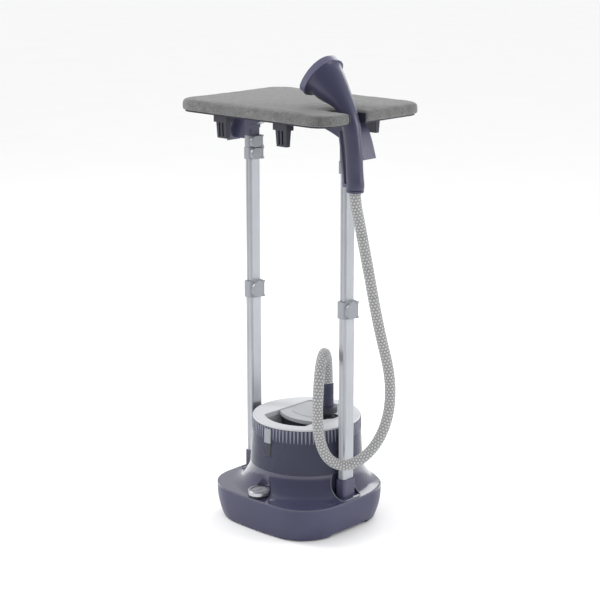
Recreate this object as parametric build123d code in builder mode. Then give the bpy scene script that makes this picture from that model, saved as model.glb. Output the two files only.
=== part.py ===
"""Garment steamer on a wide base: two telescopic poles carry a padded board and a docked steam head.

Millimetres. +Z is up, +X runs from the left pole to the right pole, -Y is the front.
The origin lies on the floor, midway between the poles.
"""
import os
from math import cos, pi, radians, sin, tan

from build123d import *

os.makedirs("parts", exist_ok=True)

# ---------------------------------------------------------------- driving dimensions
POLE_X = 145.0                      # half the distance between the two poles
SIDES = {"left": -POLE_X, "right": POLE_X}

TUBE_SIZES = [(20.6, 34.6), (18.2, 32.2), (15.8, 29.8), (13.4, 27.4)]   # each stage, X by Y
TUBE_WALL = 1.0
TUBE_CORNER = 6.0
TUBE_GROOVE = (3.0, 0.5)            # width and depth of the groove down the front face

COLLAR_HEIGHTS = [(500.0, 538.0), (823.0, 850.0), (850.3, 877.0)]
COLLAR_WALL = 3.6
COLLAR_LIP = 7.0                    # part of the collar above the end of its tube
LEVER_THICKNESS = 7.0
LEVER_REACH = (-22.0, 17.0)         # along Y, from the rounded free end to the hinge end
PIN_RADIUS = 1.6

SEAM_Z = 76.0                       # joint between the lower housing and the deck
DECK_Z = 80.0
BASE_HALF = (172.0, 157.0)          # plan of the base at the seam
BULGE_HALF = (169.5, 156.0)         # plan of the base halfway up its skirt
BULGE_Z = 42.0
FOOT_HALF = (158.0, 149.0)          # plan of the base at its bottom edge
WALL = 3.0

TANK_Y = 26.0
TANK_FLOOR_Z = 132.0
TANK_TOP_Z = 240.0
TANK_RADII = (131.0, 125.0)         # at the floor and at the top
PORT = (48.0, 45.0)                 # axis of the steam outlet, which stands in a well of the tank
WELL_RADIUS = 25.0
BAND_HALF = 64.0
BAND_RADIUS = 98.0

BOILER = (10.0, 20.0)                # axis of the round boiler inside the base

DIAL = (0.0, -132.0)
DIAL_RADIUS = 25.5

BOARD_HALF = (225.0, 170.0)
BOARD_CORNER = 45.0
BOARD_Z = (941.0, 943.0, 967.5)     # underside of the pan, underside and top of the pad
PAN_THICKNESS = 7.0                 # the pan sits in a recess under the pad
NOTCH = (165.0, -78.0, -30.0)       # inner end along X, and the two sides along Y
BEAM_Z = (877.0, 941.0)

GRIP_Y = -54.0                      # vertical plane of the steam head
HOSE_RADIUS = 12.0

# Centre line of the steam hose, from the outlet boot over its arch, down to the low bend, and up
# beside the right pole into the end of the handle.
HOSE_ROUTE = [
    (48, 45, 318), (48, 45, 352), (60, 28, 392), (92, -18, 414), (124, -64, 396),
    (139, -86, 350), (139, -89, 290), (142, -86, 236), (155, -74, 190), (181, -49, 172),
    (211, -21, 188), (236, 2, 227), (252, 17, 280), (257, 22, 338), (255, 16, 400),
    (245, 4, 462), (236, -8, 530), (229, -19, 600), (222, -30, 668), (216, -43, 735),
    (214, -53.4, 776), (214, -54, 801),
]
# Each stretch of the hose ends halfway along a run: name, first route point, last route point.
HOSE_STRETCHES = [
    ("hose_lower", 0, 9), ("hose_middle", 10, 16), ("hose_inner", 17, 17),
    ("hose_top", 18, 18), ("hose_end", 19, 21),
]


def keep(builder, name):
    """Label a finished piece and write its STEP file."""
    builder.part.label = name
    export_step(builder.part, f"parts/{name}.step")


def base_outline(half_x, half_y, corner=94.0):
    """Rounded rectangle with gently bulged sides, drawn in the current sketch."""
    side_x, side_y = half_x - 10, half_y - 14
    with BuildLine() as outline:
        ThreePointArc((-side_x, -side_y), (0, -half_y), (side_x, -side_y))
        ThreePointArc((side_x, -side_y), (half_x, 0), (side_x, side_y))
        ThreePointArc((side_x, side_y), (0, half_y), (-side_x, side_y))
        ThreePointArc((-side_x, side_y), (-half_x, 0), (-side_x, -side_y))
    plan = make_face(outline.edges())
    fillet(plan.vertices(), corner)


def box_between(low, high, mode=Mode.ADD):
    """A box from its lowest to its highest corner."""
    size = [h - l for l, h in zip(low, high)]
    centre = [(l + h) / 2 for l, h in zip(low, high)]
    with Locations(tuple(centre)):
        Box(*size, mode=mode)


def rod(x, y, z_low, z_high, radius, mode=Mode.ADD):
    """An upright cylinder."""
    with Locations((x, y, z_low)):
        Cylinder(radius, z_high - z_low, align=(Align.CENTER, Align.CENTER, Align.MIN), mode=mode)


def level(x, z):
    """Horizontal plane at height z with its origin on the pole at x."""
    return Plane(origin=(x, 0, z))


# ---------------------------------------------------------------- base housing
with BuildPart() as pan_space:
    with BuildSketch(Plane.XY.offset(6)):
        base_outline(FOOT_HALF[0] - WALL, FOOT_HALF[1] - WALL)
    with BuildSketch(Plane.XY.offset(SEAM_Z)):
        base_outline(BASE_HALF[0] - WALL, BASE_HALF[1] - WALL)
    loft()
    for side in (-1, 1):
        with Locations((side * 160, 0, 6.5)):
            Box(40, 132, 13, mode=Mode.SUBTRACT)

with BuildPart() as base_pan:
    with BuildSketch(Plane.XY.offset(2)):
        base_outline(*FOOT_HALF)
    with BuildSketch(Plane.XY.offset(BULGE_Z)):
        base_outline(*BULGE_HALF)
    with BuildSketch(Plane.XY.offset(SEAM_Z)):
        base_outline(*BASE_HALF)
    loft()
    chamfer(base_pan.edges().group_by(Axis.Z)[0], 2)
    add(pan_space.part, mode=Mode.SUBTRACT)
    for side in (-1, 1):
        with Locations((side * 165, 0, 4.5)):
            Box(40, 124, 9, mode=Mode.SUBTRACT)
    with Locations((0, BASE_HALF[1], 34)):
        Cylinder(8, 40, rotation=(90, 0, 0), mode=Mode.SUBTRACT)
    for pole_x in SIDES.values():
        box_between((pole_x - 10, -16, 5), (pole_x + 6, 16, 60))
    for turn in range(3):
        angle = radians(120 * turn + 90)
        rod(BOILER[0] + 38 * cos(angle), BOILER[1] + 38 * sin(angle), 5, 22, 5)
keep(base_pan, "base_pan")


def flare_profile(shrink):
    """Half section of the deck and the flare under the tank, in radius and height."""
    top = TANK_FLOOR_Z - shrink
    with BuildLine() as profile:
        Polyline((260, DECK_Z - shrink), (260, SEAM_Z - 1), (0, SEAM_Z - 1), (0, top),
                 (TANK_RADII[0] - shrink, top))
        Spline((TANK_RADII[0] - shrink, top), (135.5 - shrink, 112 - shrink / 2),
               (147 - shrink, 93 - shrink), (171 - shrink, DECK_Z - shrink),
               tangents=[(0.05, -1), (1, -0.12)])
        Line((171 - shrink, DECK_Z - shrink), (260, DECK_Z - shrink))
    make_face(profile.edges())


def pocket(x, grow, z_low, mode):
    """The pocket that each pole socket stands in, with walls moved out by grow."""
    with BuildSketch(Plane.XY.offset(z_low)) as plan:
        with Locations((x, 0)):
            RectangleRounded(44 + 2 * grow, 60 + 2 * grow, 9 + grow)
    extrude(plan.sketch, amount=TANK_FLOOR_Z - z_low + 1, mode=mode)


with BuildPart() as deck_space:
    with BuildSketch(Plane.XY.offset(SEAM_Z - 1)):
        base_outline(BASE_HALF[0] - WALL, BASE_HALF[1] - WALL)
    extrude(amount=TANK_FLOOR_Z - SEAM_Z)
    with BuildSketch(Plane.XZ.offset(-TANK_Y)):
        flare_profile(WALL)
    revolve(axis=Axis((0, TANK_Y, 0), (0, 0, 1)), mode=Mode.INTERSECT)
    for pole_x in SIDES.values():
        pocket(pole_x, WALL, DECK_Z - 1, Mode.SUBTRACT)
    rod(*DIAL, DECK_Z - WALL, TANK_FLOOR_Z + 10, DIAL_RADIUS + 4, mode=Mode.SUBTRACT)

with BuildPart() as base_deck:
    with BuildSketch(Plane.XY.offset(SEAM_Z)):
        base_outline(*BASE_HALF)
    extrude(amount=TANK_FLOOR_Z - SEAM_Z)
    with BuildSketch(Plane.XZ.offset(-TANK_Y)):
        flare_profile(0)
    revolve(axis=Axis((0, TANK_Y, 0), (0, 0, 1)), mode=Mode.INTERSECT)
    add(deck_space.part, mode=Mode.SUBTRACT)
    for pole_x in SIDES.values():
        pocket(pole_x, 0, DECK_Z + 2, Mode.SUBTRACT)
        with BuildSketch(Plane.XY.offset(SEAM_Z - 5)):
            with Locations((pole_x, 0)):
                RectangleRounded(TUBE_SIZES[0][0] + 6, TUBE_SIZES[0][1] + 6, 7)
        extrude(amount=TANK_FLOOR_Z, mode=Mode.SUBTRACT)
    rod(*PORT, SEAM_Z, TANK_FLOOR_Z + 1, 11, mode=Mode.SUBTRACT)
    rod(-50, 0, SEAM_Z, TANK_FLOOR_Z + 1, 21, mode=Mode.SUBTRACT)
    rod(*DIAL, SEAM_Z - 1, DECK_Z + 5, 5, mode=Mode.SUBTRACT)
    rod(*DIAL, DECK_Z, TANK_FLOOR_Z + 10, DIAL_RADIUS + 1, mode=Mode.SUBTRACT)
keep(base_deck, "base_deck")

FEET = [(sx * 118, sy * 100) for sx in (-1, 1) for sy in (-1, 1)]
with BuildPart() as rubber_feet:
    for foot_x, foot_y in FEET:
        rod(foot_x, foot_y, 0, 2, 13)
keep(rubber_feet, "rubber_feet")

with BuildPart() as base_screws:
    for foot_x, foot_y in FEET:
        rod(foot_x * 0.86, foot_y * 1.1, 6, 10, 3.5)
keep(base_screws, "base_screws")

# ---------------------------------------------------------------- inside the base
with BuildPart() as boiler:
    rod(*BOILER, 22, 70, 52)
    fillet(boiler.edges().group_by(Axis.Z)[0] + boiler.edges().group_by(Axis.Z)[-1], 6)
    rod(*BOILER, 28, 64, 46, mode=Mode.SUBTRACT)
keep(boiler, "boiler")

with BuildPart() as heating_element:
    with Locations((*BOILER, 35)):
        Torus(34, 3.2)
keep(heating_element, "heating_element")

with BuildPart() as thermostat:
    rod(BOILER[0] - 20, BOILER[1], 70, 78, 9)
keep(thermostat, "thermostat")

with BuildPart() as water_pump:
    box_between((-105, -20, 6), (-62, 30, 44))
    fillet(water_pump.edges().filter_by(Axis.Z), 5)
keep(water_pump, "water_pump")

with BuildPart() as water_seat:
    rod(-50, 0, 105, 124, 20.9)
    rod(-50, 0, 109, 125, 18.6, mode=Mode.SUBTRACT)
    rod(-50, 0, 96, 105, 5)
keep(water_seat, "water_seat")

with BuildPart() as feed_tube:
    with BuildLine() as feed_line:
        FilletPolyline((-50, 0, 96), (-50, 0, 84), (-83, 5, 74), (-83, 5, 44), radius=6)
    with BuildSketch(Plane(origin=feed_line.line @ 0, z_dir=feed_line.line % 0)):
        Circle(4)
    sweep()
keep(feed_tube, "feed_tube")

with BuildPart() as steam_pipe:
    with BuildLine() as steam_line:
        FilletPolyline((30, 35, 70), (30, 35, 84), (PORT[0], PORT[1], 98), (*PORT, 118), radius=8)
    with BuildSketch(Plane(origin=steam_line.line @ 0, z_dir=steam_line.line % 0)):
        Circle(5)
    sweep()
keep(steam_pipe, "steam_pipe")

with BuildPart() as control_board:
    box_between((70, -70, 40), (128, -22, 42))
    box_between((78, -60, 42), (94, -44, 54))
    box_between((104, -62, 42), (120, -30, 50))
    box_between((70, -70, 6), (76, -22, 40))
keep(control_board, "control_board")

with BuildPart() as mains_inlet:
    with Locations((0, 143.5, 34)):
        Cylinder(7.9, 26, rotation=(90, 0, 0))
        Cylinder(12, 6, rotation=(90, 0, 0))
        Cylinder(3.6, 30, rotation=(90, 0, 0), mode=Mode.SUBTRACT)
keep(mains_inlet, "mains_inlet")

# ---------------------------------------------------------------- steam dial
with BuildPart() as dial_seat:
    rod(*DIAL, DECK_Z, DECK_Z + 4, 23)
    rod(*DIAL, DECK_Z, DECK_Z + 5, 4.2, mode=Mode.SUBTRACT)
keep(dial_seat, "dial_seat")

with BuildPart() as dial_switch:
    rod(*DIAL, 58, 72, 14)
    rod(*DIAL, 50, 80, 3.1, mode=Mode.SUBTRACT)
keep(dial_switch, "dial_switch")

with BuildPart() as dial_knob:
    rod(*DIAL, DECK_Z + 5, DECK_Z + 16, DIAL_RADIUS)
    fillet(dial_knob.edges().group_by(Axis.Z)[-1], 2.5)
    fillet(dial_knob.edges().group_by(Axis.Z)[0], 1.5)
    rod(*DIAL, DECK_Z + 13, DECK_Z + 20, 19, mode=Mode.SUBTRACT)
    rod(*DIAL, 60, DECK_Z + 5, 3)
keep(dial_knob, "dial_knob")

with BuildPart() as dial_cap:
    rod(*DIAL, DECK_Z + 13, DECK_Z + 14.5, 18.7)
    with Locations((DIAL[0], DIAL[1], DECK_Z + 15)):
        Box(3, 16, 1.4)
keep(dial_cap, "dial_cap")

# ---------------------------------------------------------------- water tank
def tank_profile(inset, z_low, z_high):
    """Half section of the tank's drum, in radius and height."""
    slope = (TANK_RADII[1] - TANK_RADII[0]) / (TANK_TOP_Z - TANK_FLOOR_Z)
    low = TANK_RADII[0] + slope * (z_low - TANK_FLOOR_Z) - inset
    high = TANK_RADII[0] + slope * (z_high - TANK_FLOOR_Z) - inset
    Polygon((0, z_low), (low, z_low), (high, z_high), (0, z_high), align=None)


def tank_solid(inset, z_low, z_high, mode=Mode.ADD):
    """The drum as a solid of revolution about its upright axis."""
    with BuildSketch(Plane.XZ.offset(-TANK_Y)) as half:
        tank_profile(inset, z_low, z_high)
    revolve(half.sketch, axis=Axis((0, TANK_Y, 0), (0, 0, 1)), mode=mode)


def band_face(inset, y_front=-200.0):
    """The middle band of the tank's top: a strip across a disc, from y_front to the back."""
    with Locations((0, TANK_Y)):
        Circle(BAND_RADIUS - inset)
    with Locations((0, (y_front + 200) / 2)):
        Rectangle(2 * (BAND_HALF - inset), 200 - y_front, mode=Mode.INTERSECT)


with BuildPart() as tank_wall:
    tank_solid(0, TANK_FLOOR_Z + 0.4, 236)
    tank_solid(2.5, TANK_FLOOR_Z + 3, 237, mode=Mode.SUBTRACT)
    rod(*PORT, TANK_FLOOR_Z + 0.4, 226, WELL_RADIUS + 2)
    rod(*PORT, TANK_FLOOR_Z, 240, WELL_RADIUS, mode=Mode.SUBTRACT)
    rod(-50, 0, TANK_FLOOR_Z - 1, TANK_FLOOR_Z + 5, 12, mode=Mode.SUBTRACT)
keep(tank_wall, "tank_wall")

with BuildPart() as tank_top:
    tank_solid(0, 236, TANK_TOP_Z)
    tank_solid(6, 229, 236)
    fillet(tank_top.edges().group_by(Axis.Z)[-1], 1.5)
    with BuildSketch(Plane.XY.offset(225)):
        band_face(0)
    extrude(amount=20, mode=Mode.SUBTRACT)
    rod(*PORT, 220, 250, WELL_RADIUS, mode=Mode.SUBTRACT)
keep(tank_top, "tank_top")

with BuildPart() as tank_handle:
    with BuildSketch(Plane.XY.offset(229)):
        with BuildLine():
            ThreePointArc((-BAND_HALF, 2), (0, -18), (BAND_HALF, 2))
            Polyline((BAND_HALF, 2), (BAND_HALF, 180), (-BAND_HALF, 180), (-BAND_HALF, 2))
        make_face()
        with Locations((0, TANK_Y)):
            Circle(BAND_RADIUS - 0.4, mode=Mode.INTERSECT)
        Rectangle(2 * BAND_HALF - 0.8, 400, mode=Mode.INTERSECT)
    extrude(amount=9)
    fillet(tank_handle.edges().group_by(Axis.Z)[-1], 1.5)
    rod(*PORT, 220, 245, WELL_RADIUS, mode=Mode.SUBTRACT)
keep(tank_handle, "tank_handle")

with BuildPart() as tank_recess:
    with BuildSketch(Plane.XY.offset(192)):
        band_face(0.3)
        with Locations((0, -100 + 14)):
            Rectangle(200, 200, mode=Mode.INTERSECT)
    extrude(amount=36.8)
    with BuildSketch(Plane.XY.offset(195)):
        band_face(3)
        with Locations((0, -100 + 11)):
            Rectangle(200, 200, mode=Mode.INTERSECT)
    extrude(amount=40, mode=Mode.SUBTRACT)
    box_between((-80, -18.5, 228.9), (80, 40, 245), mode=Mode.SUBTRACT)
keep(tank_recess, "tank_recess")

with BuildPart() as tank_cap:
    rod(-50, 0, 117, TANK_FLOOR_Z + 0.4, 17)
    rod(-50, 0, TANK_FLOOR_Z + 0.4, TANK_FLOOR_Z + 10, 11.9)
    rod(-50, 0, 112, TANK_FLOOR_Z + 14, 3)
keep(tank_cap, "tank_cap")


def wall_patch(width, height, z_mid, near, far):
    """A patch that follows the front of the drum, from near to far outside its wall."""
    with BuildSketch(Plane.XZ.offset(TANK_RADII[1] - TANK_Y - 12)) as face:
        with Locations((0, z_mid)):
            RectangleRounded(width, height, 2.5)
    extrude(face.sketch, amount=30)
    tank_solid(-far, 150, 240, mode=Mode.INTERSECT)
    tank_solid(-near, 149, 241, mode=Mode.SUBTRACT)


with BuildPart() as latch_track:
    wall_patch(17, 62, 198, 0, 1.1)
keep(latch_track, "latch_track")

with BuildPart() as tank_latch:
    wall_patch(19, 33, 216, 1.6, 4.6)
keep(tank_latch, "tank_latch")

# ---------------------------------------------------------------- steam outlet
with BuildPart() as hose_port:
    rod(*PORT, 118, 250, 10.5)
    rod(*PORT, 250, 264, 23)
    fillet(hose_port.edges().group_by(Axis.Z)[-1], 5)
    rod(*PORT, 118, 300, 6, mode=Mode.SUBTRACT)
keep(hose_port, "hose_port")

with BuildPart() as hose_boot:
    rod(*PORT, 264, 318, 14)
    for ring in range(9):
        with BuildSketch(Plane.XY.offset(270 + 5 * ring)):
            with Locations(PORT):
                Circle(15)
                Circle(13.2, mode=Mode.SUBTRACT)
        extrude(amount=2, mode=Mode.SUBTRACT)
    rod(*PORT, 260, 316, 6, mode=Mode.SUBTRACT)
keep(hose_boot, "hose_boot")


# ---------------------------------------------------------------- telescopic poles
def tube_face(size, wall=TUBE_WALL):
    """Section of one stage: a rounded rectangular tube with a groove down its front."""
    width, depth = size
    groove_width, groove_depth = TUBE_GROOVE
    RectangleRounded(width, depth, TUBE_CORNER - 0.5)
    with Locations((0, -depth / 2)):
        Rectangle(groove_width, 2 * groove_depth, mode=Mode.SUBTRACT)
    RectangleRounded(width - 2 * wall, depth - 2 * wall, TUBE_CORNER - 0.5 - wall, mode=Mode.SUBTRACT)


TUBE_NAMES = ["lower_tubes", "middle_tubes", "inner_tubes", "upper_tubes"]
TUBE_HEIGHTS = [(84.0, 531.0), (350.0, 843.0), (560.0, 870.0), (600.0, 925.0)]
COLLAR_NAMES = ["lower_collars", "middle_collars", "inner_collars"]

for name, size, (z_low, z_high) in zip(TUBE_NAMES, TUBE_SIZES, TUBE_HEIGHTS):
    with BuildPart() as tubes:
        for pole_x in SIDES.values():
            with BuildSketch(level(pole_x, z_low)):
                tube_face(size)
            extrude(amount=z_high - z_low)
    keep(tubes, name)

with BuildPart() as pole_sockets:
    width, depth = TUBE_SIZES[0]
    for pole_x in SIDES.values():
        with BuildSketch(level(pole_x, 60)):
            RectangleRounded(width + 6, depth + 6, 7)
        extrude(amount=64)
        with BuildSketch(level(pole_x, 84)):
            RectangleRounded(width, depth, TUBE_CORNER - 0.5)
        extrude(amount=50, mode=Mode.SUBTRACT)
keep(pole_sockets, "pole_sockets")

for name, outer, inner, (z_low, z_high) in zip(COLLAR_NAMES, TUBE_SIZES, TUBE_SIZES[1:],
                                               COLLAR_HEIGHTS):
    hinge_y = LEVER_REACH[1] - 4
    hinge_out = outer[0] / 2 + COLLAR_WALL + 4.4
    with BuildPart() as collars:
        for pole_x in SIDES.values():
            hinge_x = pole_x + hinge_out
            with BuildSketch(level(pole_x, z_low)):
                RectangleRounded(outer[0] + 2 * COLLAR_WALL, outer[1] + 2 * COLLAR_WALL, 8)
            extrude(amount=z_high - z_low)
            box_between((pole_x + 5, hinge_y - 4, z_low), (hinge_x + 3.2, hinge_y + 4, z_high))
        fillet(collars.edges().group_by(Axis.Z)[-1], 1)
        for pole_x in SIDES.values():
            hinge_x = pole_x + hinge_out
            with BuildSketch(level(pole_x, z_low)):
                RectangleRounded(outer[0], outer[1], TUBE_CORNER - 0.5)
            extrude(amount=z_high - COLLAR_LIP - z_low, mode=Mode.SUBTRACT)
            with BuildSketch(level(pole_x, z_low)):
                RectangleRounded(inner[0] + 0.4, inner[1] + 0.4, TUBE_CORNER - 0.5)
            extrude(amount=z_high - z_low, mode=Mode.SUBTRACT)
            box_between((hinge_x - 4.2, hinge_y - 6, z_low + 4), (hinge_x + 9, hinge_y + 9, z_high - 4),
                        mode=Mode.SUBTRACT)
            rod(hinge_x, hinge_y, z_low - 1, z_high + 1, PIN_RADIUS, mode=Mode.SUBTRACT)
    keep(collars, name)

    for side, pole_x in SIDES.items():
        hinge_x = pole_x + hinge_out
        with BuildPart() as lever:
            y_free, y_hinge = LEVER_REACH
            with BuildSketch(Plane.YZ.offset(hinge_x - 3.2)):
                with BuildLine():
                    Polyline((y_free + 14, z_high - 0.6), (y_hinge - 9.5, z_high - 0.6),
                             (y_hinge - 9.5, z_low + 0.6), (y_free + 14, z_low + 0.6))
                    ThreePointArc((y_free + 14, z_low + 0.6), (y_free, (z_low + z_high) / 2),
                                  (y_free + 14, z_high - 0.6))
                make_face()
            extrude(amount=LEVER_THICKNESS)
            fillet(lever.edges().group_by(Axis.X)[-1], 1)
            box_between((hinge_x - 3, hinge_y - 6, z_low + 4.4), (hinge_x + 3, hinge_y, z_high - 4.4))
            rod(hinge_x, hinge_y, z_low + 4.4, z_high - 4.4, 3.4)
            rod(hinge_x, hinge_y, z_low, z_high, PIN_RADIUS + 0.06, mode=Mode.SUBTRACT)
        keep(lever, f"{name.replace('collars', 'lever')}_{side}")

    with BuildPart() as pins:
        for pole_x in SIDES.values():
            rod(pole_x + hinge_out, hinge_y, z_low + 0.4, z_high - 0.4, PIN_RADIUS)
    keep(pins, name.replace("collars", "lever_pins"))

# ---------------------------------------------------------------- hanger beam under the board
BEAM_DEPTH = 32.4                   # along Y
POST_WIDTH = 18.4
FIN_TIP = (208.0, 860.0)
FIN_WEB = {-1: (204.7, 866.0), 1: (200.0, 880.0)}   # low outer corner of each fin's web
BEAM_SCREWS = [(x, y) for x in (-60, 0, 60) for y in (-9, 9)]
with BuildPart() as hanger_beam:
    beam_low, beam_top = BEAM_Z
    inner_x = POLE_X - POST_WIDTH / 2
    outer_x = POLE_X + POST_WIDTH / 2
    with BuildSketch(Plane.XZ):
        with BuildLine():
            Polyline((inner_x, 899), (inner_x, 893), (outer_x, 893), (outer_x, beam_top),
                     (-outer_x, beam_top), (-outer_x, 893), (-inner_x, 893), (-inner_x, 899))
            ThreePointArc((-inner_x, 899), (0, 929), (inner_x, 899))
        make_face()
    extrude(amount=BEAM_DEPTH / 2, both=True)
    for side in (-1, 1):
        with BuildSketch(Plane.XZ):
            with BuildLine():
                Spline((side * 165, beam_top), (side * 190, 912), (side * FIN_TIP[0], FIN_TIP[1]),
                       tangents=[(side * 1, -0.5), (side * 0.3, -1)])
                Line((side * FIN_TIP[0], FIN_TIP[1]), (side * (FIN_TIP[0] - 3), FIN_TIP[1]))
                Spline((side * (FIN_TIP[0] - 3), FIN_TIP[1]), (side * 186.5, 910),
                       (side * 163, beam_top - 4), tangents=[(side * -0.3, 1), (side * -1, 0.5)])
                Polyline((side * 163, beam_top - 4), (side * 150, beam_top - 4),
                         (side * 150, beam_top), (side * 165, beam_top))
            make_face()
        extrude(amount=20, both=True)
        web_x, web_z = FIN_WEB[side]
        with BuildSketch(Plane.XZ):
            with BuildLine():
                Polyline((side * web_x, web_z), (side * 172, web_z), (side * 168, 880.5),
                         (side * 153.5, 880.5), (side * 153.5, beam_top - 2), (side * 164, beam_top - 2))
                Spline((side * 164, beam_top - 2), (side * 188.3, 911), (side * web_x, web_z),
                       tangents=[(side * 1, -0.5), (side * 0.3, -1)])
            make_face()
        extrude(amount=2, both=True)
    for pole_x in SIDES.values():
        with BuildSketch(level(pole_x, beam_low + 0.3)):
            RectangleRounded(POST_WIDTH, BEAM_DEPTH, 5)
        extrude(amount=beam_top - beam_low - 0.3)
    for pole_x in SIDES.values():
        with BuildSketch(level(pole_x, beam_low)):
            RectangleRounded(*TUBE_SIZES[3], TUBE_CORNER - 0.5)
        extrude(amount=48, mode=Mode.SUBTRACT)
    for screw_x, screw_y in BEAM_SCREWS:
        rod(screw_x, screw_y, 910, 935, 3.2, mode=Mode.SUBTRACT)
keep(hanger_beam, "hanger_beam")

# ---------------------------------------------------------------- pressing board
CLIP_CENTRES = [(sx * 90, sy * 144) for sx in (-1, 1) for sy in (-1, 1)]


def notch_plan(grow, mode):
    """Plan of the notch that the handle hangs in, open past the end of the board."""
    notch_x, notch_low, notch_high = NOTCH
    length = BOARD_HALF[0] - notch_x + 20 + grow
    with Locations((notch_x - grow + length / 2, (notch_low + notch_high) / 2)):
        RectangleRounded(length, notch_high - notch_low + 2 * grow, 5 + grow, mode=mode)


def board_plan(grow, notch_grow):
    """Plan of the board with its notch."""
    RectangleRounded(2 * (BOARD_HALF[0] + grow), 2 * (BOARD_HALF[1] + grow), BOARD_CORNER + grow)
    notch_plan(notch_grow, Mode.SUBTRACT)


with BuildPart() as board_pan:
    with BuildSketch(Plane.XY.offset(BOARD_Z[0])):
        board_plan(-9, 3)
    extrude(amount=PAN_THICKNESS)
    with BuildSketch(Plane.XY.offset(BOARD_Z[0] + 2.5)):
        board_plan(-15, 9)
    extrude(amount=PAN_THICKNESS, mode=Mode.SUBTRACT)
keep(board_pan, "board_pan")

with BuildPart() as board_pad:
    with BuildSketch(Plane.XY.offset(BOARD_Z[1])):
        board_plan(0, 3)
    extrude(amount=BOARD_Z[2] - BOARD_Z[1])
    fillet(board_pad.edges().group_by(Axis.Z)[-1].filter_by(
        lambda edge: abs(edge.center().X) < 170 or abs(edge.center().Y) > 90 or edge.center().X < 0), 9)
    with BuildSketch(Plane.XY.offset(BOARD_Z[0])):
        board_plan(-8.8, 3.0)
    extrude(amount=PAN_THICKNESS, mode=Mode.SUBTRACT)
keep(board_pad, "board_pad")

with BuildPart() as notch_liner:
    with BuildSketch(Plane.XY.offset(BOARD_Z[1])):
        notch_plan(2.8, Mode.ADD)
        notch_plan(0.2, Mode.SUBTRACT)
        with Locations((BOARD_HALF[0] - 104, 0)):
            Rectangle(200, 400, mode=Mode.INTERSECT)
    extrude(amount=20)
keep(notch_liner, "notch_liner")

with BuildPart() as board_clips:
    for clip_x, clip_y in CLIP_CENTRES:
        face_side = 1 if clip_y > 0 else -1
        box_between((clip_x - 20, clip_y - 11, BOARD_Z[0] - 15), (clip_x + 20, clip_y + 11, BOARD_Z[0]))
        with BuildSketch(Plane.XY.offset(BOARD_Z[0] - 15).shift_origin((clip_x, clip_y, BOARD_Z[0] - 15))):
            RectangleRounded(34, 15, 2)
        with BuildSketch(Plane.XY.offset(BOARD_Z[0] - 50).shift_origin((clip_x, clip_y, BOARD_Z[0] - 50))):
            RectangleRounded(30, 12, 2)
        loft()
        for groove_x in (-7.5, 2.5):
            box_between((clip_x + groove_x, clip_y + face_side * 5 - 3, BOARD_Z[0] - 46),
                        (clip_x + groove_x + 4, clip_y + face_side * 5 + 4, BOARD_Z[0] - 16),
                        mode=Mode.SUBTRACT)
keep(board_clips, "board_clips")

with BuildPart() as board_screws:
    for screw_x, screw_y in BEAM_SCREWS:
        rod(screw_x, screw_y, 931, 935, 3)
keep(board_screws, "board_screws")

# ---------------------------------------------------------------- steam head
HEAD_TILT = 35.0                    # lean of the steam plate from the vertical
PLATE_CENTRE = (114.0, GRIP_Y, 1040.0)
PLATE_HALF = (50.0, 48.0)           # across, and along the slope
PLATE_OUT = (-cos(radians(HEAD_TILT)), 0, sin(radians(HEAD_TILT)))


def head_plane(centre_x, centre_z, lean):
    """Plane across the head, its X along +Y and its normal leaning by lean towards -X."""
    return Plane(origin=(centre_x, GRIP_Y, centre_z), x_dir=(0, 1, 0),
                 z_dir=(-sin(radians(lean)), 0, cos(radians(lean))))


def plate_plane(offset):
    """Plane of the steam plate, moved outwards by offset."""
    centre = Vector(*PLATE_CENTRE) + Vector(*PLATE_OUT) * offset
    return Plane(origin=centre, x_dir=(0, 1, 0), z_dir=PLATE_OUT)


def plate_outline(inset):
    """Outline of the steam plate: broad at the top and rounder at the bottom."""
    across, along = PLATE_HALF[0] - inset, PLATE_HALF[1] - inset
    with BuildLine() as outline:
        Spline((0, -along), (-across * 0.8, -along * 0.62), (-across, 0), (-across * 0.86, along * 0.74),
               (0, along), (across * 0.86, along * 0.74), (across, 0), (across * 0.8, -along * 0.62),
               periodic=True)
    make_face(outline.edges())


HEAD_SECTIONS = [                   # centre X, height, lean, half across Y, half the other way
    (214.0, 802.0, 2.0, 18.5, 19.5), (213.0, 830.0, 2.5, 18.0, 19.3), (211.3, 858.0, 4.0, 17.6, 19.1),
    (208.8, 886.0, 5.5, 17.6, 19.1), (205.5, 912.0, 8.0, 18.0, 19.3), (202.0, 935.0, 11.0, 18.8, 19.3),
    (185.5, 974.0, 22.0, 23.5, 18.8), (160.5, 998.5, 41.0, 33.0, 28.7),
    (137.5, 1020.0, 50.0, 41.0, 38.5),
]
BEZEL_DEPTH = 14.0
TRIGGER_PIVOT = (200.5, 811.0)      # axis of the trigger's trunnions, along X and Z
with BuildPart() as head_space:
    for centre_x, centre_z, lean, half_y, half_x in HEAD_SECTIONS[-2:]:
        with BuildSketch(head_plane(centre_x, centre_z, lean)):
            Ellipse(half_y - 6, half_x - 6)
    with BuildSketch(plate_plane(-BEZEL_DEPTH - 3)):
        plate_outline(10)
    loft()

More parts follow.
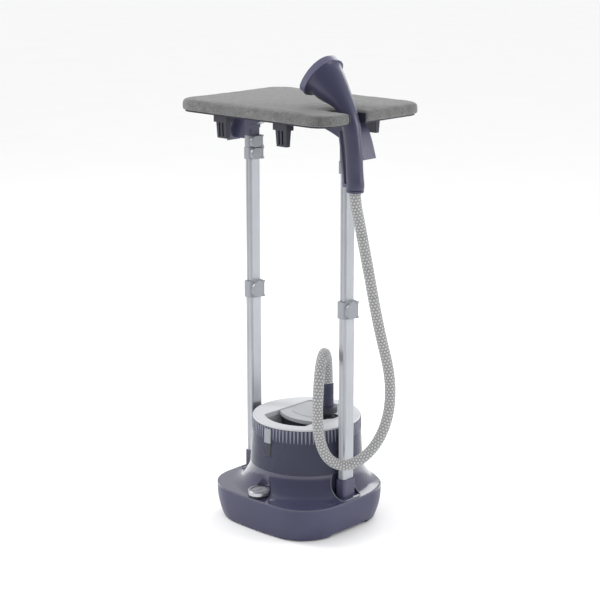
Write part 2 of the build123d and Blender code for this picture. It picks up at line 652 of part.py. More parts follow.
with BuildPart() as head_shell:
    for centre_x, centre_z, lean, half_y, half_x in HEAD_SECTIONS:
        with BuildSketch(head_plane(centre_x, centre_z, lean)):
            Ellipse(half_y, half_x)
    with BuildSketch(plate_plane(-BEZEL_DEPTH)):
        plate_outline(4)
    loft()
    add(head_space.part, mode=Mode.SUBTRACT)
    with Locations((214, GRIP_Y, 830)):
        Cylinder(7, 70, mode=Mode.SUBTRACT)
    pivot_x, pivot_z = TRIGGER_PIVOT
    box_between((pivot_x - 12, GRIP_Y - 9.4, pivot_z - 6), (pivot_x + 3.4, GRIP_Y + 9.4, pivot_z + 6.5),
                mode=Mode.SUBTRACT)
    with Locations((pivot_x, GRIP_Y, pivot_z)):
        Cylinder(1.25, 24, rotation=(90, 0, 0), mode=Mode.SUBTRACT)
keep(head_shell, "head_shell")

with BuildPart() as head_bezel:
    with BuildSketch(plate_plane(-BEZEL_DEPTH)):
        plate_outline(0.5)
    with BuildSketch(plate_plane(0)):
        plate_outline(0)
    loft()
    with BuildSketch(plate_plane(0)):
        plate_outline(6)
    extrude(amount=-4, mode=Mode.SUBTRACT)
keep(head_bezel, "head_bezel")

with BuildPart() as steam_plate:
    with BuildSketch(plate_plane(-4)):
        plate_outline(6.2)
    extrude(amount=5)
    with BuildSketch(plate_plane(1)):
        with Locations((0, 10)):
            with PolarLocations(21, 12):
                Circle(2)
            with PolarLocations(12, 6):
                Circle(2)
        with Locations((-14, -22), (0, -28), (14, -22), (0, -18)):
            Circle(2)
    extrude(amount=-3, mode=Mode.SUBTRACT)
keep(steam_plate, "steam_plate")

with BuildPart() as handle_end:
    with BuildSketch(Plane.XY.offset(796).shift_origin((214, GRIP_Y, 796))):
        Ellipse(19.4, 18.4)
    extrude(amount=5.2)
    fillet(handle_end.edges().group_by(Axis.Z)[0], 2)
    rod(214, GRIP_Y, 790, 803, HOSE_RADIUS + 0.2, mode=Mode.SUBTRACT)
keep(handle_end, "handle_end")

with BuildPart() as steam_duct:
    rod(214, GRIP_Y, 803, 862, 5)
    rod(214, GRIP_Y, 802, 863, 3.4, mode=Mode.SUBTRACT)
keep(steam_duct, "steam_duct")

with BuildPart() as steam_trigger:
    with BuildSketch(Plane.XZ.offset(-GRIP_Y)):
        with BuildLine():
            Spline((192, 806), (185.5, 860), (177, 924), tangents=[(-0.05, 1), (-0.2, 1)])
            Line((177, 924), (173, 922))
            Spline((173, 922), (181, 860), (187, 805), tangents=[(0.2, -1), (0.05, -1)])
            Line((187, 805), (192, 806))
        make_face()
    extrude(amount=9, both=True)
    fillet(steam_trigger.edges().filter_by(Axis.Y), 1)
    box_between((189, GRIP_Y - 9, TRIGGER_PIVOT[1] - 2.6),
                (TRIGGER_PIVOT[0], GRIP_Y + 9, TRIGGER_PIVOT[1] + 2.6))
    with Locations((TRIGGER_PIVOT[0], GRIP_Y, TRIGGER_PIVOT[1])):
        Cylinder(2.6, 18, rotation=(90, 0, 0))
        Cylinder(1.2, 23, rotation=(90, 0, 0))
keep(steam_trigger, "steam_trigger")

# ---------------------------------------------------------------- steam hose
def halfway(a, b):
    return tuple((p + q) / 2 for p, q in zip(a, b))


def corner_radii(points):
    """Radius at each corner: 0.45 of the shorter run over the tangent of half the turn."""
    radii = []
    for before, here, after in zip(points, points[1:], points[2:]):
        run_in, run_out = Vector(*here) - Vector(*before), Vector(*after) - Vector(*here)
        half_turn = radians(run_in.get_angle(run_out)) / 2
        radii.append(0.45 * min(run_in.length, run_out.length) / tan(half_turn))
    return radii


for name, first, last in HOSE_STRETCHES:
    points = list(HOSE_ROUTE[first:last + 1])
    if first > 0:
        points.insert(0, halfway(HOSE_ROUTE[first - 1], HOSE_ROUTE[first]))
    if last < len(HOSE_ROUTE) - 1:
        points.append(halfway(HOSE_ROUTE[last], HOSE_ROUTE[last + 1]))
    radii = corner_radii(points)
    with BuildPart() as hose:
        with BuildLine() as route:
            FilletPolyline(*points, radius=radii)
        with BuildSketch(Plane(origin=route.line @ 0, z_dir=route.line % 0)):
            Circle(HOSE_RADIUS)
        sweep()
    keep(hose, name)
    length = sum(edge.length for edge in route.edges())
    swept = hose.part.volume / (pi * HOSE_RADIUS ** 2 * length)
    print(name, "radii", [round(r) for r in radii], "length", round(length, 1),
          "volume over section times length", round(swept, 4))
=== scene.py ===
"""Looks of the garment steamer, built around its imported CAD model. Metres, +Z up, -Y the front."""

import math

import bmesh
import bpy
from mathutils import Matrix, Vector, noise
from mathutils.bvhtree import BVHTree


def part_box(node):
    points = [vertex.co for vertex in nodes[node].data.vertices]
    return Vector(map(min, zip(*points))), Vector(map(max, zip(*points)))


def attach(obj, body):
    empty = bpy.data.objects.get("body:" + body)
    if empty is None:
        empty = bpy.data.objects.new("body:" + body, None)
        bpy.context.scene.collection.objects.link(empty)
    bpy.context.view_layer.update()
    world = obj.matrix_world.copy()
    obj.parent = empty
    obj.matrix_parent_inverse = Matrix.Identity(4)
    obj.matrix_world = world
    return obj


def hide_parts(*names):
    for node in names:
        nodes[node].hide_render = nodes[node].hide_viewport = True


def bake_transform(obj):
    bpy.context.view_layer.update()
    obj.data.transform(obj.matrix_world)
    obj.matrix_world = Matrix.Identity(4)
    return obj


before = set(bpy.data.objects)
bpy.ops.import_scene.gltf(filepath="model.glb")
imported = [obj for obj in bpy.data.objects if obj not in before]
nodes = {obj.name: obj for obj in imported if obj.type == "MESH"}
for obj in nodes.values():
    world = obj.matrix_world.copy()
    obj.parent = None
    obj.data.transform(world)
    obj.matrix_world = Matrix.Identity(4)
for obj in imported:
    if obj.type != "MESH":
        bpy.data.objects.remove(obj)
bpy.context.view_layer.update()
scene = bpy.context.scene

# ---------------------------------------------------------------- camera
camera_data = bpy.data.cameras.new("camera")
camera_data.lens = 99.02
camera_data.sensor_width = 36.0
camera_data.clip_end = 300.0
camera = bpy.data.objects.new("camera", camera_data)
camera.location = (2.4881, -2.6395, 1.4299)
camera.rotation_euler = (math.radians(75.838), 0.0, math.radians(43.273))
scene.collection.objects.link(camera)
scene.camera = camera


# ---------------------------------------------------------------- materials
def new_material(name):
    """A material with an empty Principled shader, and its node tree."""
    material = bpy.data.materials.new(name)
    material.use_nodes = True
    tree = material.node_tree
    return material, tree, tree.nodes["Principled BSDF"]


def add_node(tree, kind, links=(), **values):
    """Adds a node, sets its properties or inputs, and links (socket, source) pairs into it."""
    node = tree.nodes.new(kind)
    for key, value in values.items():
        if hasattr(node, key):
            setattr(node, key, value)
        else:
            node.inputs[key.replace("_", " ")].default_value = value
    for socket, source in links:
        tree.links.new(source, node.inputs[socket])
    return node


def mixed(tree, factor, low, high):
    """A colour that runs from low to high with a factor socket."""
    mix = tree.nodes.new("ShaderNodeMix")
    mix.data_type = "RGBA"
    mix.inputs[6].default_value = (*low, 1)
    mix.inputs[7].default_value = (*high, 1)
    tree.links.new(factor, mix.inputs[0])
    return mix.outputs[2]


def plastic(name, colour, roughness, grain=2500.0, depth=0.00006, coat=0.0, spread=0.12):
    """Moulded plastic: fine spark grain, slight colour drift, softened edges, worn roughness."""
    material, tree, shader = new_material(name)
    place = add_node(tree, "ShaderNodeTexCoord").outputs["Object"]
    drift = add_node(tree, "ShaderNodeTexNoise", [("Vector", place)], Scale=9.0, Detail=4.0)
    lighter = [min(1.0, c * (1 + spread)) for c in colour]
    deeper = [c * (1 - spread) for c in colour]
    tree.links.new(mixed(tree, drift.outputs["Fac"], deeper, lighter), shader.inputs["Base Color"])
    wear = add_node(tree, "ShaderNodeTexNoise", [("Vector", place)], Scale=60.0, Detail=6.0)
    level = add_node(tree, "ShaderNodeMapRange", [("Value", wear.outputs["Fac"])],
                     To_Min=roughness - 0.05, To_Max=roughness + 0.06)
    tree.links.new(level.outputs["Result"], shader.inputs["Roughness"])
    fine = add_node(tree, "ShaderNodeTexNoise", [("Vector", place)], Scale=grain, Detail=2.0)
    edge = add_node(tree, "ShaderNodeBevel", Radius=0.0006)
    bump = add_node(tree, "ShaderNodeBump",
                    [("Height", fine.outputs["Fac"]), ("Normal", edge.outputs["Normal"])],
                    Distance=depth, Strength=0.6)
    tree.links.new(bump.outputs["Normal"], shader.inputs["Normal"])
    shader.inputs["Coat Weight"].default_value = coat
    shader.inputs["Coat Roughness"].default_value = 0.08
    return material


def metal(name, colour, roughness, stretch=(900.0, 900.0, 6.0), depth=0.00003):
    """Drawn or brushed metal: long fine streaks in colour, roughness and bump."""
    material, tree, shader = new_material(name)
    place = add_node(tree, "ShaderNodeTexCoord").outputs["Object"]
    scaled = add_node(tree, "ShaderNodeMapping", [("Vector", place)])
    scaled.inputs["Scale"].default_value = stretch
    streak = add_node(tree, "ShaderNodeTexNoise", [("Vector", scaled.outputs["Vector"])],
                      Scale=1.0, Detail=3.0)
    cloud = add_node(tree, "ShaderNodeTexNoise", [("Vector", place)], Scale=14.0, Detail=3.0)
    both = add_node(tree, "ShaderNodeMath", [(0, streak.outputs["Fac"]), (1, cloud.outputs["Fac"])],
                    operation="MULTIPLY")
    tree.links.new(mixed(tree, both.outputs[0], [c * 0.82 for c in colour],
                         [min(1.0, c * 1.25) for c in colour]), shader.inputs["Base Color"])
    level = add_node(tree, "ShaderNodeMapRange", [("Value", streak.outputs["Fac"])],
                     To_Min=roughness - 0.06, To_Max=roughness + 0.1)
    tree.links.new(level.outputs["Result"], shader.inputs["Roughness"])
    bump = add_node(tree, "ShaderNodeBump", [("Height", streak.outputs["Fac"])], Distance=depth,
                    Strength=0.5)
    tree.links.new(bump.outputs["Normal"], shader.inputs["Normal"])
    shader.inputs["Metallic"].default_value = 1.0
    return material


def clear_plastic(name, colour, clearness):
    """Smoke-tinted clear plastic with faint flow waviness."""
    material, tree, shader = new_material(name)
    place = add_node(tree, "ShaderNodeTexCoord").outputs["Object"]
    waves = add_node(tree, "ShaderNodeTexNoise", [("Vector", place)], Scale=18.0, Detail=2.0)
    tree.links.new(mixed(tree, waves.outputs["Fac"], [c * 0.92 for c in colour], colour),
                   shader.inputs["Base Color"])
    level = add_node(tree, "ShaderNodeMapRange", [("Value", waves.outputs["Fac"])],
                     To_Min=0.05, To_Max=0.14)
    tree.links.new(level.outputs["Result"], shader.inputs["Roughness"])
    bump = add_node(tree, "ShaderNodeBump", [("Height", waves.outputs["Fac"])], Distance=0.0004,
                    Strength=0.3)
    tree.links.new(bump.outputs["Normal"], shader.inputs["Normal"])
    shader.inputs["Transmission Weight"].default_value = clearness
    shader.inputs["IOR"].default_value = 1.2
    return material


def felt(name, dark, light):
    """Melange felt: mixed light and dark fibres, fuzzy sheen, napped surface."""
    material, tree, shader = new_material(name)
    place = add_node(tree, "ShaderNodeTexCoord").outputs["Object"]
    fibre = add_node(tree, "ShaderNodeTexNoise", [("Vector", place)], Scale=420.0, Detail=5.0,
                     Distortion=1.6)
    fibre.inputs["Roughness"].default_value = 0.7
    ramp = add_node(tree, "ShaderNodeMapRange", [("Value", fibre.outputs["Fac"])],
                    From_Min=0.36, From_Max=0.64)
    cloud = add_node(tree, "ShaderNodeTexNoise", [("Vector", place)], Scale=70.0, Detail=3.0)
    blend = add_node(tree, "ShaderNodeMath",
                     [(0, ramp.outputs["Result"]), (1, cloud.outputs["Fac"])], operation="MULTIPLY")
    tree.links.new(mixed(tree, blend.outputs[0], dark, light), shader.inputs["Base Color"])
    nap = add_node(tree, "ShaderNodeTexNoise", [("Vector", place)], Scale=900.0, Detail=4.0)
    height = add_node(tree, "ShaderNodeMath",
                      [(0, nap.outputs["Fac"]), (1, ramp.outputs["Result"])], operation="ADD")
    bump = add_node(tree, "ShaderNodeBump", [("Height", height.outputs[0])], Distance=0.0006,
                    Strength=0.8)
    tree.links.new(bump.outputs["Normal"], shader.inputs["Normal"])
    shader.inputs["Roughness"].default_value = 0.95
    shader.inputs["Sheen Weight"].default_value = 0.35
    return material


STITCH_ROWS = 150.0                 # rows of stitches to a metre of sleeve
STITCH_COLUMNS = 10.0               # stitches around the sleeve


def braid(name):
    """Braided sleeve: grey diagonal plait with rows of raised pale stitches, laid out by UV."""
    material, tree, shader = new_material(name)
    uv = add_node(tree, "ShaderNodeTexCoord").outputs["UV"]
    parts = add_node(tree, "ShaderNodeSeparateXYZ", [("Vector", uv)])
    around, along = parts.outputs["X"], parts.outputs["Y"]

    def math_node(operation, a, b=0.5):
        node = tree.nodes.new("ShaderNodeMath")
        node.operation = operation
        for socket, value in ((0, a), (1, b)):
            if isinstance(value, (int, float)):
                node.inputs[socket].default_value = value
            else:
                tree.links.new(value, node.inputs[socket])
        return node.outputs[0]

    row = math_node("MULTIPLY", along, STITCH_ROWS)
    column = math_node("MULTIPLY", around, STITCH_COLUMNS)
    half_row = math_node("MULTIPLY", math_node("FLOOR", row), 0.5)
    u = math_node("SUBTRACT", math_node("FRACT", math_node("ADD", column, half_row)), 0.5)
    v = math_node("SUBTRACT", math_node("FRACT", row), 0.5)
    wide = math_node("MULTIPLY", math_node("POWER", u, 2.0), 1.5)
    reach = math_node("SQRT", math_node("ADD", wide, math_node("POWER", v, 2.0)))
    dot = add_node(tree, "ShaderNodeMapRange", [("Value", reach)], From_Min=0.44, From_Max=0.26)
    lines = math_node("SINE", math_node("MULTIPLY", math_node("ADD", row, column), math.tau))
    cross = math_node("SINE", math_node("MULTIPLY", math_node("SUBTRACT", row, column), math.tau))
    plait = add_node(tree, "ShaderNodeMapRange", [("Value", math_node("MULTIPLY", lines, cross))],
                     From_Min=-1.0, From_Max=1.0)
    ground = mixed(tree, plait.outputs["Result"], (0.16, 0.16, 0.165), (0.34, 0.34, 0.345))
    mix = tree.nodes.new("ShaderNodeMix")
    mix.data_type = "RGBA"
    mix.inputs[7].default_value = (0.52, 0.525, 0.53, 1)
    tree.links.new(ground, mix.inputs[6])
    tree.links.new(dot.outputs["Result"], mix.inputs[0])
    tree.links.new(mix.outputs[2], shader.inputs["Base Color"])
    weave = math_node("MULTIPLY", plait.outputs["Result"], 0.35)
    height = math_node("ADD", dot.outputs["Result"], weave)
    bump = add_node(tree, "ShaderNodeBump", [("Height", height)], Distance=0.0014, Strength=1.0)
    tree.links.new(bump.outputs["Normal"], shader.inputs["Normal"])
    shader.inputs["Roughness"].default_value = 0.72
    shader.inputs["Sheen Weight"].default_value = 0.2
    return material


SHARP_ANGLE = math.radians(28)      # edges sharper than this stay crisp
housing = plastic("housing_plastic", (0.038, 0.038, 0.088), 0.42, coat=0.1)
shell = plastic("head_plastic", (0.040, 0.040, 0.086), 0.36, coat=0.15)
gloss = plastic("deck_plastic", (0.046, 0.046, 0.088), 0.2, grain=900.0, depth=0.00001, coat=0.5)
purple = plastic("trim_plastic", (0.105, 0.105, 0.172), 0.36, coat=0.1)
pale = plastic("pale_plastic", (0.26, 0.275, 0.30), 0.34, coat=0.15)
ring = plastic("ring_plastic", (0.50, 0.51, 0.53), 0.36, coat=0.08, spread=0.05)
grey = plastic("handle_plastic", (0.34, 0.35, 0.37), 0.3, coat=0.2, spread=0.05)
boot_navy = plastic("boot_rubber", (0.030, 0.031, 0.068), 0.5, grain=1500.0, depth=0.0002)
dark = plastic("dark_plastic", (0.022, 0.022, 0.036), 0.4)
board_dark = plastic("board_plastic", (0.02, 0.02, 0.034), 0.5)
beam_plastic = plastic("beam_plastic", (0.050, 0.050, 0.100), 0.36, coat=0.15)
rubber = plastic("soft_rubber", (0.02, 0.02, 0.022), 0.75, grain=1500.0, depth=0.0002)
circuit = plastic("board_laminate", (0.02, 0.12, 0.05), 0.4)
silicone = plastic("silicone_tube", (0.6, 0.6, 0.58), 0.35)
smoke = clear_plastic("smoke_clear", (0.105, 0.11, 0.17), 0.5)
pole = metal("pole_metal", (0.45, 0.47, 0.50), 0.36)
steel = metal("steel", (0.55, 0.55, 0.57), 0.3, stretch=(400.0, 400.0, 400.0))
chrome_ring = metal("dial_ring", (0.52, 0.53, 0.56), 0.33, stretch=(60.0, 60.0, 900.0))
cast = metal("boiler_metal", (0.55, 0.55, 0.56), 0.5, stretch=(300.0, 300.0, 300.0))
brass = metal("brass", (0.62, 0.45, 0.2), 0.35, stretch=(300.0, 300.0, 300.0))
felt_grey = felt("melange_felt", (0.045, 0.045, 0.046), (0.33, 0.33, 0.322))
sleeve = braid("braided_sleeve")

LOOKS = {
    housing: ["base_pan"], gloss: ["base_deck"], shell: ["head_shell", "handle_end"],
    purple: ["head_bezel", "steam_trigger"],
    ring: ["tank_top"],
    pale: ["tank_latch", "dial_cap", "lower_collars", "middle_collars", "inner_collars"]
          + [f"{stage}_lever_{side}" for stage in ("lower", "middle", "inner")
             for side in ("left", "right")],
    grey: ["tank_handle", "tank_recess"], boot_navy: ["hose_boot"],
    beam_plastic: ["hanger_beam", "pole_sockets"],
    dark: ["board_clips", "latch_track", "dial_seat", "dial_switch", "notch_liner",
           "hose_port", "water_pump", "tank_cap", "water_seat", "mains_inlet"],
    board_dark: ["board_pan"], rubber: ["rubber_feet"], circuit: ["control_board"],
    silicone: ["feed_tube", "steam_duct"], smoke: ["tank_wall"],
    pole: ["lower_tubes", "middle_tubes", "inner_tubes", "upper_tubes"],
    steel: ["base_screws", "board_screws", "lower_lever_pins", "middle_lever_pins",
            "inner_lever_pins", "steam_plate", "heating_element"],
    chrome_ring: ["dial_knob"], cast: ["boiler"], brass: ["thermostat", "steam_pipe"],
    felt_grey: ["board_pad"],
    sleeve: ["hose_lower", "hose_middle", "hose_inner", "hose_top", "hose_end"],
}
for material, names in LOOKS.items():
    for name in names:
        nodes[name].data.materials.clear()
        nodes[name].data.materials.append(material)
        nodes[name].data.set_sharp_from_angle(angle=SHARP_ANGLE)


def mesh_piece(name, vertices, faces, material, body, smooth=True):
    """A mesh object in the row frame that rides on a body."""
    mesh = bpy.data.meshes.new(name)
    mesh.from_pydata(vertices, [], faces)
    mesh.materials.append(material)
    if smooth:
        mesh.shade_smooth()
    piece = bpy.data.objects.new(name, mesh)
    scene.collection.objects.link(piece)
    if body:
        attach(piece, body)
    return piece


# ---------------------------------------------------------------- steam hose
HOSE_RADIUS = 0.012
HOSE_ROUTE = [
    (0.048, 0.045, 0.318), (0.048, 0.045, 0.352), (0.060, 0.028, 0.392), (0.092, -0.018, 0.414),
    (0.124, -0.064, 0.396), (0.139, -0.086, 0.350), (0.139, -0.089, 0.290), (0.142, -0.086, 0.236),
    (0.155, -0.074, 0.190), (0.181, -0.049, 0.172), (0.211, -0.021, 0.188), (0.236, 0.002, 0.227),
    (0.252, 0.017, 0.280), (0.257, 0.022, 0.338), (0.255, 0.016, 0.400), (0.245, 0.004, 0.462),
    (0.236, -0.008, 0.530), (0.229, -0.019, 0.600), (0.222, -0.030, 0.668), (0.216, -0.043, 0.735),
    (0.214, -0.0534, 0.776), (0.214, -0.054, 0.801),
]
# name, last route point, the body it starts on, and the body at its far end, which leaves the
# stretch on no body
HOSE_STRETCHES = [
    ("hose_lower", 9, "base", None),
    ("hose_middle", 16, "base", "middle_stage"),
    ("hose_inner", 17, "middle_stage", "inner_stage"),
    ("hose_top", 18, "inner_stage", "top_stage"),
    ("hose_end", 21, "top_stage", "handset"),
]


def spline_points(route):
    """Points along the smooth curve that the route's points control."""
    curve = bpy.data.curves.new("hose_route", "CURVE")
    curve.dimensions = "3D"
    spline = curve.splines.new("NURBS")
    spline.points.add(len(route) - 1)
    for point, place in zip(spline.points, route):
        point.co = (*place, 1.0)
    spline.order_u = 3
    spline.use_endpoint_u = True
    spline.resolution_u = 12
    holder = bpy.data.objects.new("hose_route", curve)
    scene.collection.objects.link(holder)
    mesh = bpy.data.meshes.new_from_object(holder)
    points = [vertex.co.copy() for vertex in mesh.vertices]
    bpy.data.objects.remove(holder)
    bpy.data.meshes.remove(mesh)
    return points


def frames_along(points):
    """Two cross directions at every point, carried along without twist."""
    frames = []
    side = None
    for i in range(len(points)):
        ahead = (points[min(i + 1, len(points) - 1)] - points[max(i - 1, 0)]).normalized()
        if side is None:
            side = ahead.orthogonal()
        side = (side - ahead * side.dot(ahead)).normalized()
        frames.append((side.copy(), ahead.cross(side)))
    return frames


def tube(name, points, frames, radius, start_length, material, segments=36):
    """A round tube along the points with UVs: once around, and metres along."""
    vertices = []
    for point, (a, b) in zip(points, frames):
        for s in range(segments):
            turn = 2 * math.pi * s / segments
            vertices.append(point + (a * math.cos(turn) + b * math.sin(turn)) * radius)
    faces = []
    coords = []
    length = start_length
    for i in range(len(points) - 1):
        step = (points[i + 1] - points[i]).length
        for s in range(segments):
            t = (s + 1) % segments
            faces.append((i * segments + s, i * segments + t, (i + 1) * segments + t,
                          (i + 1) * segments + s))
            coords.append(((s / segments, length), ((s + 1) / segments, length),
                           ((s + 1) / segments, length + step), (s / segments, length + step)))
        length += step
    faces.append(tuple(reversed(range(segments))))
    faces.append(tuple((len(points) - 1) * segments + s for s in range(segments)))
    mesh = bpy.data.meshes.new(name)
    mesh.from_pydata(vertices, [], faces)
    layer = mesh.uv_layers.new(name="UVMap")
    for polygon, corners in zip(mesh.polygons, coords):
        for loop, corner in zip(polygon.loop_indices, corners):
            layer.data[loop].uv = corner
    mesh.materials.append(material)
    mesh.shade_smooth()
    piece = bpy.data.objects.new(name, mesh)
    scene.collection.objects.link(piece)
    return piece, length


hose_points = spline_points(HOSE_ROUTE)
hose_frames = frames_along(hose_points)
sleeves = {}
run = 0.0
start = 0
for name, last, body, far_body in HOSE_STRETCHES:
    if last + 1 < len(HOSE_ROUTE):
        cut = (Vector(HOSE_ROUTE[last]) + Vector(HOSE_ROUTE[last + 1])) / 2
        end = min(range(len(hose_points)), key=lambda i: (hose_points[i] - cut).length)
    else:
        end = len(hose_points) - 1
    path = hose_points[start:end + 1]
    piece, run_end = tube(f"sleeve_{name[5:]}", path, hose_frames[start:end + 1], HOSE_RADIUS, run,
                          sleeve)
    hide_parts(name)
    if far_body:
        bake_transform(piece)
    else:
        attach(piece, body)
    sleeves[name] = (piece, path, run_end - run)
    run = run_end
    start = end

# The two short stretches above the long ones are only listed beside the upper long one; each long
# stretch's piece, path and length are unpacked and left unused.
short_sleeves = [sleeves[name][0] for name in ("hose_inner", "hose_top")]
for name, carried in (("hose_lower", []), ("hose_middle", short_sleeves)):
    piece, path, length = sleeves[name]

# ---------------------------------------------------------------- floor and light
floor_material, floor_tree, floor_shader = new_material("floor_paint")
floor_place = add_node(floor_tree, "ShaderNodeTexCoord").outputs["Object"]
floor_noise = add_node(floor_tree, "ShaderNodeTexNoise", [("Vector", floor_place)], Scale=3.0)
floor_tree.links.new(mixed(floor_tree, floor_noise.outputs["Fac"], (0.93, 0.93, 0.93),
                           (0.96, 0.96, 0.96)), floor_shader.inputs["Base Color"])
floor_shader.inputs["Roughness"].default_value = 0.9
FLOOR_HALF = 60.0                   # wide enough to reach the horizon
floor_corners = [(x * FLOOR_HALF, y * FLOOR_HALF, 0)
                 for x, y in ((-1, -1), (1, -1), (1, 1), (-1, 1))]
floor = mesh_piece("floor", floor_corners, [(0, 1, 2, 3)], floor_material, None,
                   smooth=False)

# The studio: white for the eye and for soft light; reflections see a bright back and a dark front.
AWAY_FROM_CAMERA = (-0.685, 0.728, 0.15)
world = bpy.data.worlds.new("studio")
world.use_nodes = True
sky = world.node_tree
plain = sky.nodes["Background"]
plain.inputs["Color"].default_value = (1.0, 1.0, 1.0, 1)
plain.inputs["Strength"].default_value = 1.02
aim = add_node(sky, "ShaderNodeTexCoord").outputs["Generated"]
facing = add_node(sky, "ShaderNodeVectorMath", [(0, aim)], operation="DOT_PRODUCT")
facing.inputs[1].default_value = AWAY_FROM_CAMERA
ramp = add_node(sky, "ShaderNodeMapRange", [("Value", facing.outputs["Value"])],
                From_Min=-0.35, From_Max=0.8, To_Min=0.16, To_Max=0.9)
mirrored = add_node(sky, "ShaderNodeBackground", [("Strength", ramp.outputs["Result"])])
mirrored.inputs["Color"].default_value = (0.96, 0.97, 1.0, 1)
ray = add_node(sky, "ShaderNodeLightPath")
choose = add_node(sky, "ShaderNodeMixShader",
                  [(0, ray.outputs["Is Glossy Ray"]), (1, plain.outputs[0]),
                   (2, mirrored.outputs[0])])
sky.links.new(choose.outputs[0], sky.nodes["World Output"].inputs["Surface"])
scene.world = world
scene.view_settings.view_transform = "Standard"


def soft_light(name, place, aim, size, power):
    """A square area light that faces a point."""
    data = bpy.data.lights.new(name, "AREA")
    data.size = size
    data.energy = power
    lamp = bpy.data.objects.new(name, data)
    lamp.location = place
    lamp.rotation_euler = (Vector(aim) - Vector(place)).to_track_quat("-Z", "Y").to_euler()
    scene.collection.objects.link(lamp)


soft_light("key", (-2.2, -1.2, 2.4), (0, 0, 0.5), 1.2, 50)
soft_light("fill", (2.4, 1.6, 1.6), (0, 0, 0.5), 1.4, 30)
soft_light("back", (-0.8, 2.4, 2.0), (0, 0, 0.6), 1.6, 24)

# ---------------------------------------------------------------- felt pad
PAD_LOW, PAD_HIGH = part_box("board_pad")
PAD_SHRINK = 0.0006                 # the cloth starts this far inside the solid, then swells
PAD_VOXEL = 0.005
PAD_PRESSURE = 4.0
PAD_SWELL = 0.003                   # furthest that a point of the pad may move
CLOTH_FRAMES = 20
RIPPLE_SCALE = 22.0                 # ripples to a metre of pad
RIPPLE_HEIGHT = 0.0005
PAD_GAP = 0.0002                    # left between the pad and the bottom of its solid
PAD_CROWN = 0.002                   # how far the pad may stand over its solid


def pad_shape(shrink):
    """The pad's solid, a little smaller all round, as a closed mesh."""
    source = nodes["board_pad"].data.copy()
    pad = bpy.data.objects.new("felt_pad", source)
    scene.collection.objects.link(pad)
    build = bmesh.new()
    build.from_mesh(source)
    bmesh.ops.remove_doubles(build, verts=build.verts, dist=1e-5)
    build.normal_update()
    for vertex in build.verts:
        vertex.co -= vertex.normal * shrink
    build.to_mesh(source)
    build.free()
    return pad


def swell(pad, voxel, pressure, limit):
    """Remeshes the pad, lets Cloth pressure swell it, and caps how far each point moves."""
    remesh = pad.modifiers.new("remesh", "REMESH")
    remesh.mode = "VOXEL"
    remesh.voxel_size = voxel
    bpy.context.view_layer.update()
    evaluated = pad.evaluated_get(bpy.context.evaluated_depsgraph_get())
    dense = bpy.data.meshes.new_from_object(evaluated)
    pad.modifiers.clear()
    pad.data = dense
    rest = [vertex.co.copy() for vertex in dense.vertices]
    cloth = pad.modifiers.new("cloth", "CLOTH")
    cloth.settings.use_pressure = True
    cloth.settings.uniform_pressure_force = pressure
    cloth.settings.effector_weights.gravity = 0.0
    cloth.point_cache.frame_start = 1
    cloth.point_cache.frame_end = CLOTH_FRAMES
    for number in range(1, CLOTH_FRAMES + 1):
        scene.frame_set(number)
    evaluated = pad.evaluated_get(bpy.context.evaluated_depsgraph_get())
    moved = [vertex.co.copy() for vertex in evaluated.data.vertices]
    pad.modifiers.clear()
    scene.frame_set(1)
    for vertex, before, after in zip(dense.vertices, rest, moved):
        shift = after - before
        if shift.length > limit:
            shift *= limit / shift.length
        vertex.co = before + shift
    return pad


pad = swell(pad_shape(PAD_SHRINK), PAD_VOXEL, PAD_PRESSURE, PAD_SWELL)
pad.data.materials.clear()
pad.data.materials.append(felt_grey)
for vertex in pad.data.vertices:
    ripple = noise.noise(vertex.co * RIPPLE_SCALE) * RIPPLE_HEIGHT
    vertex.co.z = max(PAD_LOW.z + PAD_GAP, min(PAD_HIGH.z + PAD_CROWN, vertex.co.z + ripple))
pad.data.shade_smooth()
smooth = pad.modifiers.new("subdivide", "SUBSURF")
smooth.levels = 1
smooth.render_levels = 1
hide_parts("board_pad")
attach(pad, "top_stage")

# ---------------------------------------------------------------- tank details
TANK_CENTRE = (0.0, 0.026)
TANK_LOW, TANK_HIGH = 0.132, 0.240
TANK_RADII = (0.131, 0.125)         # at the drum's foot and at its rim
RIB_COUNT = 90
RIB_Z = (0.206, 0.2355)
RIB_HALF_WIDTH = (0.0007, 0.0017)   # at the foot, and what the top adds to it
RIB_PROUD = (0.0001, 0.0014)        # clear of the drum, and what the top's middle adds


def tank_radius(z):
    """Outside radius of the drum at a height."""
    return TANK_RADII[0] + (TANK_RADII[1] - TANK_RADII[0]) * (z - TANK_LOW) / (TANK_HIGH - TANK_LOW)


def tapered_ribs(name, z_low, z_high, body, slot, material):
    """Vertical ribs below the rim, broad and proud at the top, fading out downwards."""
    vertices = []
    faces = []
    across, down = 6, 8
    for rib in range(RIB_COUNT):
        middle = 2 * math.pi * (rib + 0.5) / RIB_COUNT
        first = len(vertices)
        for row in range(down + 1):
            z = z_high - (z_high - z_low) * row / down
            fade = 1 - (row / down) ** 1.5
            half = (RIB_HALF_WIDTH[0] + RIB_HALF_WIDTH[1] * fade) / tank_radius(z)
            for column in range(across + 1):
                t = -1 + 2 * column / across
                r = tank_radius(z) + RIB_PROUD[0] + RIB_PROUD[1] * fade * (1 - t * t)
                turn = middle + half * t
                vertices.append((TANK_CENTRE[0] + r * math.sin(turn),
                                 TANK_CENTRE[1] - r * math.cos(turn), z))
        for row in range(down):
            for column in range(across):
                a = first + row * (across + 1) + column
                faces.append((a, a + across + 1, a + across + 2, a + 1))
    return mesh_piece(name, vertices, faces, material, body)


rib_plastic = clear_plastic("rib_plastic", (0.34, 0.35, 0.43), 0.35)
tapered_ribs("tank_ribs", *RIB_Z, "tank", "smoke_clear", rib_plastic)


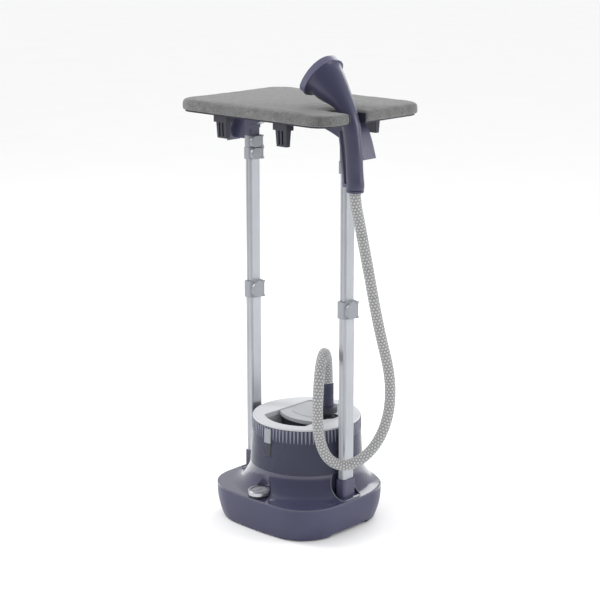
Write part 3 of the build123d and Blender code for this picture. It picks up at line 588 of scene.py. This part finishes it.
def arc_points(radius, centre_y, half_angle, z, steps=40):
    """Points on an arc about the tank's upright plane, bulging to the front."""
    return [Vector((radius * math.sin(a), centre_y - radius * math.cos(a), z))
            for a in (half_angle * (2 * i / steps - 1) for i in range(steps + 1))]


# The wall set back under the front edge of the handle plate closes the finger recess; it is
# near-black as painted shade, the shadow under the plate.
EDGE_RADIUS = 0.1115                # the plate's curved front edge and the lines that follow it
WALL_Z = (0.1955, 0.2288)
WALL_THICKNESS = 0.002
WALL_CENTRE_Y, WALL_HALF_ANGLE = 0.0995, 0.56
front = arc_points(EDGE_RADIUS, WALL_CENTRE_Y, WALL_HALF_ANGLE, 0.0)
wall_vertices = [(p.x, p.y, z) for z in WALL_Z for p in front]
wall_vertices += [(p.x, p.y + WALL_THICKNESS, z) for z in WALL_Z for p in front]
count = len(front)
wall_faces = []
for sheet in (0, 2 * count):
    for i in range(count - 1):
        quad = (sheet + i, sheet + i + 1, sheet + count + i + 1, sheet + count + i)
        wall_faces.append(quad if sheet == 0 else tuple(reversed(quad)))
# Near-black sheets: a real back wall for the recess, coloured as painted shade under the handle
# plate.
mesh_piece("recess_shade_wall", wall_vertices, wall_faces, dark, "tank")

SEAM_RADIUS = 0.00035
SEAM_CENTRE_Y, SEAM_HALF_ANGLE = 0.1225, 0.36
PLATE_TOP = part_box("tank_handle")[1].z
seam_points = arc_points(EDGE_RADIUS, SEAM_CENTRE_Y, SEAM_HALF_ANGLE, PLATE_TOP + 0.0001)
seam, _ = tube("handle_seam", seam_points, frames_along(seam_points), SEAM_RADIUS, 0.0, dark,
               segments=8)
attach(seam, "tank")


# ---------------------------------------------------------------- lips around the pole pockets
def rounded_outline(centre_x, half_x, half_y, corner, steps=10):
    """Points around a rounded rectangle."""
    points = []
    for quarter in range(4):
        turn = math.pi / 2 * quarter
        cx = (half_x - corner) * (1 if quarter in (0, 3) else -1)
        cy = (half_y - corner) * (1 if quarter in (0, 1) else -1)
        for s in range(steps + 1):
            a = turn + math.pi / 2 * s / steps
            points.append((centre_x + cx + corner * math.cos(a), cy + corner * math.sin(a)))
    dense = []
    for (ax, ay), (bx, by) in zip(points, points[1:] + points[:1]):
        count = max(1, int(math.hypot(bx - ax, by - ay) / 0.003))
        dense += [(ax + (bx - ax) * i / count, ay + (by - ay) * i / count) for i in range(count)]
    return dense


POLE_X = 0.145
LIP_HALF = (0.0228, 0.0308)         # half the pocket's outline, across X and Y
LIP_CORNER = 0.0098
LIP_RADIUS = 0.0014
LIP_LIFT = 0.0004                   # of the lip's middle line over the deck
ABOVE_DECK = 0.2
deck_tree = BVHTree.FromPolygons([v.co for v in nodes["base_deck"].data.vertices],
                                 [tuple(p.vertices) for p in nodes["base_deck"].data.polygons])
# The lips are a real rolled bead of the deck, but their pale colour, far lighter than the deck's, is
# a painted highlight along each pocket's rim.
lip_highlight_plastic = plastic("lip_highlight_plastic", (0.15, 0.155, 0.20), 0.18, coat=0.6)
for side, pole_x in (("left", -POLE_X), ("right", POLE_X)):
    line = []
    for x, y in rounded_outline(pole_x, *LIP_HALF, LIP_CORNER):
        hit = deck_tree.ray_cast(Vector((x, y, ABOVE_DECK)), Vector((0, 0, -1)))[0]
        if hit:
            line.append(Vector((x, y, hit.z + LIP_LIFT)))
    for _ in range(3):
        line = [(line[i - 1] + line[i] * 2 + line[(i + 1) % len(line)]) / 4
                for i in range(len(line))]
    line.append(line[0].copy())
    lip, _ = tube(f"pocket_lip_{side}", line, frames_along(line), LIP_RADIUS, 0.0, lip_highlight_plastic,
                  segments=10)
    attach(lip, "base")
